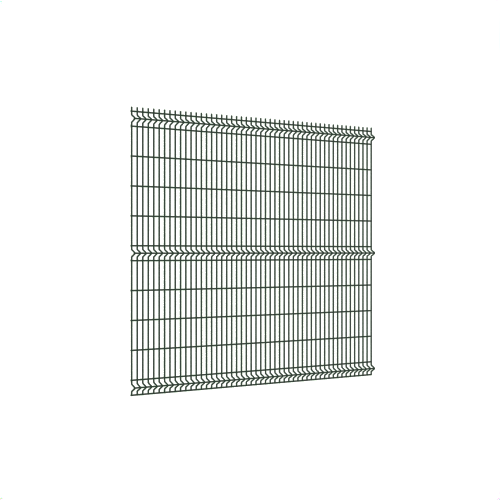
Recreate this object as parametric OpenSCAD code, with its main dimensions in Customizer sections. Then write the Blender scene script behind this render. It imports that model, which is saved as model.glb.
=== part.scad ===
// Welded mesh fence panel with V folds
// Round wires run up and across in a grid and are welded where they cross.
// X runs along the fence, Z is up, and the V folds bulge towards -Y, the front.
// The origin is the middle of the cut foot of the centre upright.

/* [Wire] */
// Diameter of the uprights and the cross wires
wire_d = 5; // [3:0.5:6]
// Depth that a weld presses a cross wire onto an upright
weld_set = 0.5; // [0.2:0.1:0.8]

/* [Mesh] */
// Spacing of the uprights, centre to centre
upright_pitch = 50; // [30:1:100]
// Spaces between the uprights, an even number so that one upright is in the middle
spaces = 50; // [16:2:60]
// Spacing of the cross wires in a flat field, centre to centre
cross_pitch = 200; // [50:5:300]
// Spaces between cross wires in the height of a flat field
field_rows = 4; // [1:1:6]

/* [Folds] */
// Number of V folds, the lowest at the foot and the highest under the barbs
folds = 3; // [2:1:4]
// Height of a fold between its lower and its upper cross wire
fold_h = 100; // [80:1:150]
// Height of the V between its two shoulders
vee_h = 50; // [40:1:64]
// Depth of the V, from the flat wires' centre line to the crest's
vee_depth = 32; // [18:1:40]
// Radius on the inside of every bend
bend_inner_r = 3.5; // [2.5:0.1:6]
// How much thicker the press leaves the wire in a bend
bend_swell = 0.1; // [0.06:0.02:0.3]

/* [Edges] */
// Height of the barbs over the top cross wire
barb_h = 25; // [5:0.5:60]
// Length of the uprights' feet below the bottom cross wire
foot_l = 0; // [0:0.5:60]
// Length of the cross wires past the edge uprights
stub_l = 0; // [0:0.5:30]
// Chamfer on every cut end of a wire
end_chamfer = 0.4; // [0.1:0.1:1]

/* [Hidden] */
$fn = 48;
wire_r = wire_d / 2;
bend_r = bend_inner_r + wire_r;
half_vee = vee_h / 2;

// Length by which a straight piece runs on inside the bend that it meets
lap = 0.2;

// Distance between the centre lines of an upright and the cross wire on its back
seat = wire_d - weld_set;

// Half the length of the flat that a weld presses into a cross wire
seat_half = sqrt(pow(wire_r, 2) - pow(seat - wire_r, 2));

// Slope of the V's flanks from the vertical, so that the rounded crest is vee_depth deep
slope = atan2(vee_depth - bend_r, half_vee)
    + asin(bend_r / norm([half_vee, vee_depth - bend_r]));

// Height over which a shoulder bend starts before the V's corner
setback = bend_r * tan(slope / 2);

// The lower flank's ends, as Y and Z about the crest's height
flank_start = [bend_r * (cos(slope) - 1), bend_r * sin(slope) - half_vee - setback];
flank_end = [bend_r * (1 - cos(slope)) - vee_depth, -bend_r * sin(slope)];

field_h = field_rows * cross_pitch;
half_w = spaces * upright_pitch / 2;
cross_half = half_w + wire_r + stub_l;
low_wire_z = foot_l + wire_r;
crest_zs = [for (k = [0 : folds - 1]) low_wire_z + fold_h / 2 + k * (fold_h + field_h)];
tip_z = crest_zs[folds - 1] + fold_h / 2 + wire_r + barb_h;

// Straight stretches of an upright between its folds, as bottom and top heights
runs = [for (k = [0 : folds]) [
    k == 0 ? 0 : crest_zs[k - 1] + half_vee + setback - lap,
    k == folds ? tip_z : crest_zs[k] - half_vee - setback + lap
]];

function fold_name(k) =
    k == 0 ? "bottom_fold" :
    k == folds - 1 ? "top_fold" :
    folds == 3 ? "middle_fold" : str("middle_fold_", k);

function field_name(k) =
    folds == 2 ? "field" :
    k == 0 ? "lower_field" :
    k == folds - 2 ? "upper_field" : "middle_field";

// Cross wires, as name, height and whether the wire lies in a crest
fold_rows = [for (k = [0 : folds - 1]) each [
    [str(fold_name(k), "_lower_wire"), crest_zs[k] - fold_h / 2, false],
    [str(fold_name(k), "_crest_wire"), crest_zs[k], true],
    [str(fold_name(k), "_upper_wire"), crest_zs[k] + fold_h / 2, false]
]];
field_wires = field_rows < 2 ? [] : [for (k = [0 : folds - 2], n = [1 : field_rows - 1])
    [str(field_name(k), "_wire_", n), crest_zs[k] + fold_h / 2 + n * cross_pitch, false]];
rows = concat(fold_rows, field_wires);

// The inner uprights are shared out over this many nodes, side by side
upright_nodes = 7;
inner = spaces - 1;

moss_green = [0.05, 0.24, 0.19];

function upright_x(i) = i * upright_pitch - half_w;

// A straight stretch of wire up from the origin, with a chamfer at a cut end
module bar(length, foot_cut = false, tip_cut = false) {
    foot = foot_cut ? end_chamfer : 0;
    tip = tip_cut ? end_chamfer : 0;
    side = concat(
        foot_cut ? [[wire_r - foot, 0]] : [],
        [[wire_r, foot], [wire_r, length - tip]],
        tip_cut ? [[wire_r - tip, length]] : []
    );
    rotate_extrude()
        polygon(concat([[0, 0]], side, [[0, length]]));
}

// A round bend in the YZ plane, from one angle at its centre to another
module bend(from, to) {
    rotate([90, 0, 90])
        rotate([0, 0, from])
            rotate_extrude(angle = to - from)
                translate([bend_r, 0])
                    circle(d = wire_d + bend_swell);
}

// The straight flank from the lower shoulder bend up to the crest bend
module lower_flank() {
    translate([0, flank_start[0], flank_start[1]])
        rotate([slope, 0, 0])
            translate([0, 0, -lap])
                bar(norm(flank_end - flank_start) + 2 * lap);
}

// One V fold of an upright, about the crest's height
module vee() {
    translate([0, bend_r - vee_depth, 0])
        bend(180 - slope, 180 + slope);
    for (side = [0, 1])
        mirror([0, 0, side]) {
            lower_flank();
            translate([0, -bend_r, -half_vee - setback])
                bend(0, slope);
        }
}

// One upright wire, bent forward at every fold and cut square at both ends
module upright(i) {
    translate([upright_x(i), 0, 0]) {
        for (k = [0 : folds])
            translate([0, 0, runs[k][0]])
                bar(runs[k][1] - runs[k][0], foot_cut = k == 0, tip_cut = k == folds);
        for (z = crest_zs)
            translate([0, 0, z])
                vee();
    }
}

// A straight wire of the panel's full width, along X
module long_wire() {
    translate([-cross_half, 0, 0])
        rotate([0, 90, 0])
            bar(2 * cross_half, foot_cut = true, tip_cut = true);
}

// A cross wire on the back of the straight uprights, pressed flat at each weld
module flat_cross_wire(z) {
    difference() {
        translate([0, seat, z])
            long_wire();
        for (i = [0 : spaces])
            translate([upright_x(i) - seat_half, 0, z - wire_r])
                cube([2 * seat_half, wire_r, wire_d]);
    }
}

// A cross wire inside the crests, pressed to the curve of the bend at each weld
module crest_cross_wire(z) {
    inner_r = bend_inner_r - bend_swell / 2;
    difference() {
        translate([0, seat - vee_depth, z])
            long_wire();
        for (i = [0 : spaces])
            translate([upright_x(i) - seat_half, bend_r - vee_depth, z])
                rotate([0, 90, 0])
                    difference() {
                        cylinder(r = bend_r, h = 2 * seat_half);
                        translate([0, 0, -1])
                            cylinder(r = inner_r, h = 2 * seat_half + 2);
                    }
    }
}

module cross_wire(row) {
    color(moss_green)
        if (row[2])
            crest_cross_wire(row[1]);
        else
            flat_cross_wire(row[1]);
}

module left_edge_upright() {
    color(moss_green)
        upright(0);
}

module right_edge_upright() {
    color(moss_green)
        upright(spaces);
}

// One share of the inner uprights, counted from the left
module uprights(g) {
    color(moss_green)
        for (i = [1 : inner])
            if (floor((i - 1) * upright_nodes / inner) == g - 1)
                upright(i);
}

for (row = rows)
    cross_wire(row);
left_edge_upright();
right_edge_upright();
for (g = [1 : upright_nodes])
    uprights(g);
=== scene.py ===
# %% [markdown]
# # A welded mesh fence panel in moss green
#
# The object is a fence panel of round steel wires: 51 uprights and 15 cross wires, 5 mm thick,
# welded where they cross and powder coated. Three V folds make the thin mesh stiff. The CAD model
# already says where every wire lies, so this lesson only builds their looks around it, in metres
# and in the same frame. X runs along the fence, Z is up, and the folds bulge towards -Y.

# %% Load the CAD model as a fixed frame
import math

import bmesh
import bpy
from mathutils import Matrix, Vector


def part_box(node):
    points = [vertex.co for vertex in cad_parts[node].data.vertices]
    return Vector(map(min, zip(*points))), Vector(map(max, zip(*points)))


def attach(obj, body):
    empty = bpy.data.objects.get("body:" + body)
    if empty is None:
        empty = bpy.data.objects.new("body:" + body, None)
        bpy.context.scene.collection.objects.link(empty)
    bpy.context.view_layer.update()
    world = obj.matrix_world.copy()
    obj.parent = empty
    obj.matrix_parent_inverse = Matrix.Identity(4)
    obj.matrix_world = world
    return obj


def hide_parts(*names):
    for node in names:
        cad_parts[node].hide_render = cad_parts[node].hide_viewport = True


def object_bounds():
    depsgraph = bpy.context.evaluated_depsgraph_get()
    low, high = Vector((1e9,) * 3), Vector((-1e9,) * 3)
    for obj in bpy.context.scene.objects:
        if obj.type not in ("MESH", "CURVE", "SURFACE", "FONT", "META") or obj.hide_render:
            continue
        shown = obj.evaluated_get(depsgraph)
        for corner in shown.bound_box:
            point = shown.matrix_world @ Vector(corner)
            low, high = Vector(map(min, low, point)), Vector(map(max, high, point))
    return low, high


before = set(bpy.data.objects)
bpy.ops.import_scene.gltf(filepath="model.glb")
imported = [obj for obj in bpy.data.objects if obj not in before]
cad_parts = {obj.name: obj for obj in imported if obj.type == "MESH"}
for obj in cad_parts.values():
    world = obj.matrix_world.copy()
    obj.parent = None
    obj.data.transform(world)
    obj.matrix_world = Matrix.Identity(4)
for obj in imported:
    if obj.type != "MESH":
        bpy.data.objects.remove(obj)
cad_low, cad_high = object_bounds()
scene = bpy.context.scene
print("CAD box from", [round(v, 4) for v in cad_low], "to", [round(v, 4) for v in cad_high])

# %% [markdown]
# ## The camera
#
# The photograph sees the whole panel from its front left, through a long lens at half its height.
# Its uprights stay vertical, so its camera was level: a tilted one would make them converge. The
# angle and the distance were found by matching the crossings of the wires. A small lens shift
# brings the panel to its place in the frame without turning the camera.

# %% A level camera with a long lens
VIEW_TURN = math.radians(45.96)     # between the panel's depth and the line of sight
VIEW_DISTANCE = 11.532              # along the line of sight, from the camera to the panel's middle
VIEW_LEFT = 0.078                   # how far to the left of the panel's middle the camera stands
EYE_HEIGHT = 0.961
LENS = 114.55                       # millimetres
SENSOR = 36                         # millimetres
LENS_SHIFT = (0, 0.0039)            # as a share of the picture
SIGHT_END = 3000                    # past the far edge of the floor

sight = Vector((math.sin(VIEW_TURN), math.cos(VIEW_TURN), 0))
to_right = Vector((math.cos(VIEW_TURN), -math.sin(VIEW_TURN), 0))
camera = bpy.data.objects.new("camera", bpy.data.cameras.new("camera"))
camera.data.sensor_width = SENSOR
camera.data.lens = LENS
camera.data.shift_x, camera.data.shift_y = LENS_SHIFT
camera.data.clip_end = SIGHT_END
camera.location = Vector((0, 0, EYE_HEIGHT)) - VIEW_DISTANCE * sight - VIEW_LEFT * to_right
camera.rotation_euler = (math.pi / 2, 0, -VIEW_TURN)
scene.collection.objects.link(camera)
scene.camera = camera
print("camera at", [round(v, 3) for v in camera.location])

# %% [markdown]
# ## Reading the frame
#
# A real panel is set out from a few sizes: the thickness of the wire, the spacing of the uprights
# and the heights of the cross wires. Most of them can be read off the boxes of the CAD nodes, so
# nothing has to be fitted by eye. Only the spacing and the shape of the V are given as numbers.

# %% Where every wire lies
UPRIGHT_PITCH = 0.050


def node_middle(node):
    """The middle of a CAD node's box."""
    low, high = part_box(node)
    return (Vector(low) + Vector(high)) / 2


cross_nodes = sorted(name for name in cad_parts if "fold" in name or "field" in name)
upright_nodes = sorted(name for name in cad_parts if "upright" in name)
cross_places = {name: node_middle(name) for name in cross_nodes}
crest_heights = sorted(place.z for name, place in cross_places.items() if "crest" in name)
first_x = node_middle("left_edge_upright").x
last_x = node_middle("right_edge_upright").x
spaces = round((last_x - first_x) / UPRIGHT_PITCH)
upright_xs = [first_x + i * UPRIGHT_PITCH for i in range(spaces + 1)]
print(len(upright_xs), "uprights and", len(cross_places), "cross wires")

# %% How thick the wire is
MM = 1000                           # millimetres in a metre

sample_low, sample_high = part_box("lower_field_wire_1")
WIRE = sample_high[2] - sample_low[2]
RADIUS = WIRE / 2
print("wire", round(WIRE * MM, 2), "mm thick")

# %% [markdown]
# ## The shape of a V fold
#
# On the real panel a press bends each upright out to a crest and back again, so a fold has two
# shoulders, two straight flanks and a crest. All three bends have the same small radius. The slope
# of the flanks follows from the height and the depth of the V, as it does in the CAD model.

# %% The V as one slope and one length
VEE_HEIGHT = 0.050                  # between the two shoulders
VEE_DEPTH = 0.032                   # between the centre lines of a straight stretch and the crest
BEND = 0.006                        # radius of every bend, to the wire's centre line

half_vee = VEE_HEIGHT / 2
reach = VEE_DEPTH - BEND
slope = math.atan2(reach, half_vee) + math.asin(BEND / math.hypot(half_vee, reach))
setback = BEND * math.tan(slope / 2)
shoulder = half_vee + setback       # height between the crest and the start of a shoulder bend
flank_rise = shoulder - 2 * BEND * math.sin(slope)
flank = flank_rise / math.cos(slope)
outwards = Vector((0, -math.sin(slope), math.cos(slope)))
inwards = Vector((0, math.sin(slope), math.cos(slope)))
print("flanks slope", round(math.degrees(slope), 1), "degrees over", round(flank * MM, 1), "mm")

# %% [markdown]
# ## Bending wire
#
# A wire-bending machine has two moves: it feeds the wire straight on, and it turns it round a pin.
# A bevelled curve could draw the same path, but it squashes the section in tight bends. Here the
# same two moves shape the mesh: a ring of edges is extruded for a feed and spun for a turn, and
# the section stays a true circle all the way.

# %% The machine's two moves
SIDES = 16


def edges_of(geometry):
    """The edges among the things that an operator returns."""
    return [part for part in geometry if isinstance(part, bmesh.types.BMEdge)]


def cut_end(bm, matrix):
    """Starts a wire with a flat cut end, and returns the ring of edges round it."""
    disc = bmesh.ops.create_circle(bm, cap_ends=True, radius=RADIUS, segments=SIDES, matrix=matrix)
    return list({edge for vert in disc["verts"] for edge in vert.link_edges})


def feed(bm, ring, step):
    """Runs the wire straight on and returns its new ring."""
    made = bmesh.ops.extrude_edge_only(bm, edges=ring)["geom"]
    verts = [part for part in made if isinstance(part, bmesh.types.BMVert)]
    bmesh.ops.translate(bm, vec=step, verts=verts)
    return [edge for edge in edges_of(made) if all(vert in verts for vert in edge.verts)]


def turn(bm, ring, pin, angle, steps):
    """Turns the wire round a pin along X and returns its new ring."""
    verts = list({vert for edge in ring for vert in edge.verts})
    made = bmesh.ops.spin(
        bm, geom=verts + ring, cent=pin, axis=(1, 0, 0), angle=angle, steps=steps, use_merge=False
    )
    return edges_of(made["geom_last"])


print("a wire has", SIDES, "sides")

# %% [markdown]
# ## Cut ends
#
# A shear leaves a nearly flat end with a sharp rim, and the coat softens it. The flat end is a
# face over the last ring, and a small bevel rounds both rims. The smooth shading skips the flat
# ends, so they catch the light as cut wire does.

# %% Closing and rounding the ends
RIM = 0.0004
RIM_STEPS = 2
SIDE_CORNERS = 4                    # of a face on the wire's side, where a flat end has more


def finish_wire(bm, ring_a, ring_b):
    """Closes the open end, rounds both rims and turns every face outwards."""
    bmesh.ops.contextual_create(bm, geom=ring_b)
    bmesh.ops.bevel(
        bm,
        geom=ring_a + ring_b,
        offset=RIM,
        segments=RIM_STEPS,
        profile=0.5,
        affect="EDGES",
        material=-1,
    )
    bmesh.ops.recalc_face_normals(bm, faces=bm.faces)
    for face in bm.faces:
        face.smooth = len(face.verts) <= SIDE_CORNERS


def to_mesh(bm, name):
    """Turns a finished bmesh into a mesh."""
    mesh = bpy.data.meshes.new(name)
    bm.to_mesh(mesh)
    bm.free()
    return mesh


print("rims rounded by", RIM * MM, "mm")

# %% [markdown]
# ## One upright
#
# Every upright is the same wire: a straight stretch from the foot, then a shoulder, a flank, the
# crest, the other flank and the other shoulder, three times over, and a straight barb at the top.
# It is bent once here, and the mesh is copied to every place. The crest turns twice as far as a
# shoulder, so it gets twice the steps.

# %% Bend one upright from foot to barb
SHOULDER_STEPS = 6
CREST_STEPS = 12


def bend_fold(bm, ring, height, crest):
    """Bends one V fold into the wire that has come up to height."""
    ring = feed(bm, ring, (0, 0, crest - shoulder - height))
    ring = turn(bm, ring, (0, -BEND, crest - shoulder), slope, SHOULDER_STEPS)
    ring = feed(bm, ring, outwards * flank)
    ring = turn(bm, ring, (0, BEND - VEE_DEPTH, crest), -2 * slope, CREST_STEPS)
    ring = feed(bm, ring, inwards * flank)
    return turn(bm, ring, (0, -BEND, crest + shoulder), slope, SHOULDER_STEPS)


bm = bmesh.new()
foot_ring = ring = cut_end(bm, Matrix())
height = 0
for crest in crest_heights:
    ring = bend_fold(bm, ring, height, crest)
    height = crest + shoulder
tip_ring = feed(bm, ring, (0, 0, cad_high.z - height))
finish_wire(bm, foot_ring, tip_ring)
upright_mesh = to_mesh(bm, "upright")
print("an upright has", len(upright_mesh.polygons), "faces")

# %% [markdown]
# ## Placing the uprights
#
# The edge uprights stand alone, and the others come in seven groups, as the CAD model has them.
# Each group becomes one piece that takes the place of its node, so the mesh can still be taken
# apart by name. The copies are moved in the mesh, and the objects stay at the origin.

# %% Copy the upright to its places
def hang(mesh, name, node=None):
    """Makes an object of a mesh, in the place of a CAD node if there is one."""
    piece = bpy.data.objects.new(name, mesh)
    scene.collection.objects.link(piece)
    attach(piece, "root")
    if node:
        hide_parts(node)
    return piece


def copies(mesh, places, name):
    """One mesh with a copy of another at every place."""
    bm = bmesh.new()
    for place in places:
        first = len(bm.verts)
        bm.from_mesh(mesh)
        bm.verts.ensure_lookup_table()
        bmesh.ops.translate(bm, vec=place, verts=bm.verts[first:])
    return to_mesh(bm, name)


pieces = []
for node in upright_nodes:
    low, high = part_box(node)
    places = [(x, 0, 0) for x in upright_xs if low[0] < x < high[0]]
    pieces.append(hang(copies(upright_mesh, places, node), node + "_coated", node))
    print(node, "has", len(places), "uprights")

# %% [markdown]
# ## Cross wires
#
# The cross wires are straight and run the whole width behind the uprights, and inside the crests
# of the folds. A straight wire is one feed. Its ring starts half a side round, so that no corner
# of it stands proud of the round CAD wire.

# %% Feed each cross wire from left to right
HALF_SIDE = Matrix.Rotation(math.pi / SIDES, 4, "X")
ALONG = Matrix.Rotation(math.pi / 2, 4, "Y")

for node, place in cross_places.items():
    bm = bmesh.new()
    left_end = Matrix.Translation((cad_low.x, place.y, place.z))
    left_ring = cut_end(bm, left_end @ HALF_SIDE @ ALONG)
    right_ring = feed(bm, left_ring, (cad_high.x - cad_low.x, 0, 0))
    finish_wire(bm, left_ring, right_ring)
    pieces.append(hang(to_mesh(bm, node), node + "_coated", node))
print(len(cross_places), "cross wires")

# %% [markdown]
# ## Welds
#
# At each crossing the two wires are pressed together and welded, and a little steel is squeezed
# out into the narrow corners between them. Cutting a true fillet between two round wires would
# take hundreds of faces, 765 times over. A squashed ball, let into the meeting faces of both
# wires, shows the same soft corners for 60 faces. There is one piece of welds to a cross wire.

# %% One weld, copied along each cross wire
WELD_RADIUS = 0.00245               # along both wires, a hair less than theirs
WELD_DEPTH = 0.0015                 # into each of them
WELD_SIDES = 10
WELD_RINGS = 6
PRESSED = 0.0005                    # how far a weld presses the wires into each other

bm = bmesh.new()
squash = Matrix.Diagonal((WELD_RADIUS, WELD_RADIUS, WELD_DEPTH, 1))
bmesh.ops.create_uvsphere(
    bm,
    u_segments=WELD_SIDES,
    v_segments=WELD_RINGS,
    radius=1,
    matrix=Matrix.Rotation(math.pi / 2, 4, "X") @ squash,
)
for face in bm.faces:
    face.smooth = True
weld_mesh = to_mesh(bm, "weld")
print("a weld has", len(weld_mesh.polygons), "faces")

# %% Place the welds
for node, place in cross_places.items():
    seam = place.y - RADIUS + PRESSED / 2
    places = [(x, seam, place.z) for x in upright_xs]
    pieces.append(hang(copies(weld_mesh, places, node + "_welds"), node + "_welds"))
print(len(cross_places) * len(upright_xs), "welds")

# %% [markdown]
# ## Maths on surfaces
#
# A material is a graph of nodes, and sums in it are quicker to read as Python. The class below
# holds the output of a node. Adding or multiplying it adds the Math node that does the sum, and
# any other kind of node comes from its method called node.

# %% A signal that can be reckoned with
MIX_FIRST = 6                       # the Mix node's sockets for two colours
MIX_SECOND = 7
MIX_RESULT = 2


class Signal:
    """One output of a node, which sums and products can use."""

    def __init__(self, tree, socket=None):
        self.tree = tree
        self.socket = socket

    def node(self, kind, settings=None, values=None, output=0):
        """Adds a node, sets it up, fills its sockets and returns one of its outputs."""
        made = self.tree.nodes.new(kind)
        for name, value in (settings or {}).items():
            setattr(made, name, value)
        for name, value in (values or {}).items():
            if isinstance(value, Signal):
                self.tree.links.new(value.socket, made.inputs[name])
            else:
                made.inputs[name].default_value = value
        return Signal(self.tree, made.outputs[output])

    def maths(self, operation, first, second=0):
        """Adds one Math node."""
        return self.node("ShaderNodeMath", {"operation": operation}, {0: first, 1: second})

    def __add__(self, other):
        return self.maths("ADD", self, other)

    def __sub__(self, other):
        return self.maths("SUBTRACT", self, other)

    def __rsub__(self, other):
        return self.maths("SUBTRACT", other, self)

    def __mul__(self, other):
        return self.maths("MULTIPLY", self, other)

    def __truediv__(self, other):
        return self.maths("DIVIDE", self, other)

    def __abs__(self):
        return self.maths("ABSOLUTE", self)

    __radd__ = __add__
    __rmul__ = __mul__


def mix_colours(factor, first, second):
    """Goes from one colour to another as the factor goes from 0 to 1."""
    settings = {"data_type": "RGBA"}
    values = {0: factor, MIX_FIRST: first, MIX_SECOND: second}
    return factor.node("ShaderNodeMix", settings, values, output=MIX_RESULT)


print("signals are ready")

# %% [markdown]
# ## The coat
#
# The wires are galvanised and then powder coated in moss green. The powder melts into a satin
# skin with a faint orange peel, a ripple one or two millimetres wide. Its green drifts a little
# from place to place. In the corners round a weld the powder lies thinner and duller, and painted
# shade darkens the coat there. All of it follows the real size, from Object coordinates.

# %% Patterns of the coat
PEEL_SCALE = 620                    # ripples in a metre
GRAIN_SCALE = 2400
FINE_DETAIL = 1
DRIFT_SCALE = 5
DRIFT_DETAIL = 2

coat = bpy.data.materials.new("moss_green_coat")
coat.use_nodes = True
start = Signal(coat.node_tree)
here = start.node("ShaderNodeTexCoord", output="Object")


def noise(scale, detail):
    """Soft noise from 0 to 1, of a real size."""
    values = {"Vector": here, "Scale": scale, "Detail": detail}
    return start.node("ShaderNodeTexNoise", None, values)


peel = noise(PEEL_SCALE, FINE_DETAIL)
grain = noise(GRAIN_SCALE, FINE_DETAIL)
drift = noise(DRIFT_SCALE, DRIFT_DETAIL)
print("orange peel about", round(MM / PEEL_SCALE, 1), "mm wide")

# %% How near a crossing is
CORNER_REACH = 0.008

x = start.node("ShaderNodeSeparateXYZ", None, {0: here}, output="X")
z = start.node("ShaderNodeSeparateXYZ", None, {0: here}, output="Z")
to_crossing = start.maths("PINGPONG", x, UPRIGHT_PITCH / 2)
to_row = abs(z - cross_places[cross_nodes[0]].z)
for node in cross_nodes[1:]:
    to_row = start.maths("MINIMUM", to_row, abs(z - cross_places[node].z))
# Full at a crossing and nothing beyond CORNER_REACH: this mask lays painted shade on the coat and
# makes it duller
nearness = 1 - start.maths("MAXIMUM", to_crossing, to_row) / CORNER_REACH
corner = start.maths("MAXIMUM", nearness, 0)
print("corners reach", CORNER_REACH * MM, "mm from a crossing")

# %% The coat's shader
DEEP_GREEN = (0.0013, 0.036, 0.0225, 1)
MOSS_GREEN = (0.0017, 0.042, 0.0265, 1)
# Painted shade: the darker green laid into the corners round each crossing
CORNER_SHADE_GREEN = (0.0012, 0.026, 0.0165, 1)
SHINE = 0.07                        # how much light the skin throws back
ROUGHNESS = 0.38                    # where the skin is smoothest
DRIFT_DULLS = 0.1                   # what each pattern adds to the roughness
GRAIN_DULLS = 0.06
CORNER_DULLS = 0.12
GRAIN_SHARE = 0.25                  # of the peel's height
RIPPLE_DEPTH = 0.0002
RIPPLE_STRENGTH = 0.6

shader = coat.node_tree.nodes["Principled BSDF"]
shader.inputs["Specular IOR Level"].default_value = SHINE
# The drifting green, darkened towards each crossing by painted shade
colour = mix_colours(corner, mix_colours(drift, DEEP_GREEN, MOSS_GREEN), CORNER_SHADE_GREEN)
roughness = ROUGHNESS + DRIFT_DULLS * drift + GRAIN_DULLS * grain + CORNER_DULLS * corner
skin = peel + GRAIN_SHARE * grain
ripple_values = {"Strength": RIPPLE_STRENGTH, "Distance": RIPPLE_DEPTH, "Height": skin}
ripple = start.node("ShaderNodeBump", None, ripple_values)
for name, signal in {"Base Color": colour, "Roughness": roughness, "Normal": ripple}.items():
    coat.node_tree.links.new(signal.socket, shader.inputs[name])
for piece in pieces:
    piece.data.materials.append(coat)
print("coat on", len(pieces), "pieces")

# %% [markdown]
# ## The studio
#
# The photograph is a product picture on plain white, lit from the left and with no shadows. The
# floor is a very large light table, so its far edge falls on the horizon, where the white of the
# world takes over. White paper could do the same, but light that comes back from paper is grainy
# in a render, and a light table is as even as the world.

# %% A light table and a white world
FLOOR_HALF = 1500                   # metres from the middle to an edge
WHITE = 1.02                        # as the camera sees it, just past full white
SKY_LIGHT = 0.6                     # as the sky lights the panel

bm = bmesh.new()
bmesh.ops.create_grid(bm, x_segments=1, y_segments=1, size=FLOOR_HALF)
floor = bpy.data.objects.new("floor", to_mesh(bm, "floor"))
scene.collection.objects.link(floor)
table = bpy.data.materials.new("light_table")
table.use_nodes = True
table_shader = table.node_tree.nodes["Principled BSDF"]
table_shader.inputs["Base Color"].default_value = (0, 0, 0, 1)
table_shader.inputs["Specular IOR Level"].default_value = 0
table_shader.inputs["Emission Color"].default_value = (1, 1, 1, 1)
table_shader.inputs["Emission Strength"].default_value = WHITE
floor.data.materials.append(table)

world = bpy.data.worlds.new("studio")
scene.world = world
world.use_nodes = True
sky = world.node_tree.nodes["Background"]
sky.inputs["Color"].default_value = (1, 1, 1, 1)
seen = Signal(world.node_tree).node("ShaderNodeLightPath", output="Is Camera Ray")
strength = SKY_LIGHT + (WHITE - SKY_LIGHT) * seen
world.node_tree.links.new(strength.socket, sky.inputs["Strength"])
print("table and sky show as", WHITE, "and the sky lights with", SKY_LIGHT)

# %% [markdown]
# ## The key light
#
# The bright stripe on the wires lies left of their middle, so the main light stands to the left
# of the camera and not much higher. A sun as wide as a large softbox gives that stripe soft edges.
# It casts no shadow, as the picture has none.

# %% A soft key light on the left
KEY_LEFT = math.radians(60)
KEY_HEIGHT = math.radians(20)
KEY_WIDTH = math.radians(30)
KEY_STRENGTH = 5.0

key = bpy.data.objects.new("key", bpy.data.lights.new("key", "SUN"))
key.data.energy = KEY_STRENGTH
key.data.angle = KEY_WIDTH
key.data.use_shadow = False
key.rotation_euler = (math.pi / 2 - KEY_HEIGHT, 0, -VIEW_TURN - KEY_LEFT)
scene.collection.objects.link(key)
print("the key light stands", round(math.degrees(KEY_LEFT)), "degrees to the left of the camera")

# %% [markdown]
# ## Thin wires on a small picture
#
# In the photograph a wire is thinner than a pixel, yet it was drawn dark and crisp. A render
# averages such a wire with the white behind it and comes out pale. Thicker wires would be wrong
# from every other side, so tone curves bring the contrast back, one each for red, green and blue.
# They leave white and the coat's darkest greens alone, and deepen the pale greys, which no surface
# here has by itself, towards the lines of the photograph. The price is the coat's highlights, which
# go almost as dark as the rest. The curves were fitted to this camera and this size of picture, and
# a closer view is truer with use_curve_mapping off.

# %% Tone curves for the fine lines
DARKS = (0.028, 0.053, 0.033)       # red, green and blue of the darkest lines
TINTS = (0.97, 1.05, 0.95)          # how much of each is left in the paler ones
KEPT = 0.6                          # share of the darkest lines up to which nothing changes
LOWS = [(0.11, 0.94), (0.36, 1)]    # tones, and the share of the darkest lines that they become
MIDDLES = [(0.50, 0.069), (0.63, 0.132), (0.78, 0.278), (0.90, 0.470), (0.97, 0.690)]

view = scene.view_settings
view.view_transform = "Standard"
view.use_curve_mapping = True
for curve, dark, tint in zip(view.curve_mapping.curves, DARKS, TINTS):
    lows = [(KEPT * dark, KEPT * dark)] + [(shown, share * dark) for shown, share in LOWS]
    middles = [(shown, wanted * tint) for shown, wanted in MIDDLES]
    for shown, wanted in lows + middles:
        curve.points.new(shown, wanted)
    for point in curve.points:
        point.handle_type = "VECTOR"
view.curve_mapping.update()
print("tone curves of", len(curve.points), "points each")
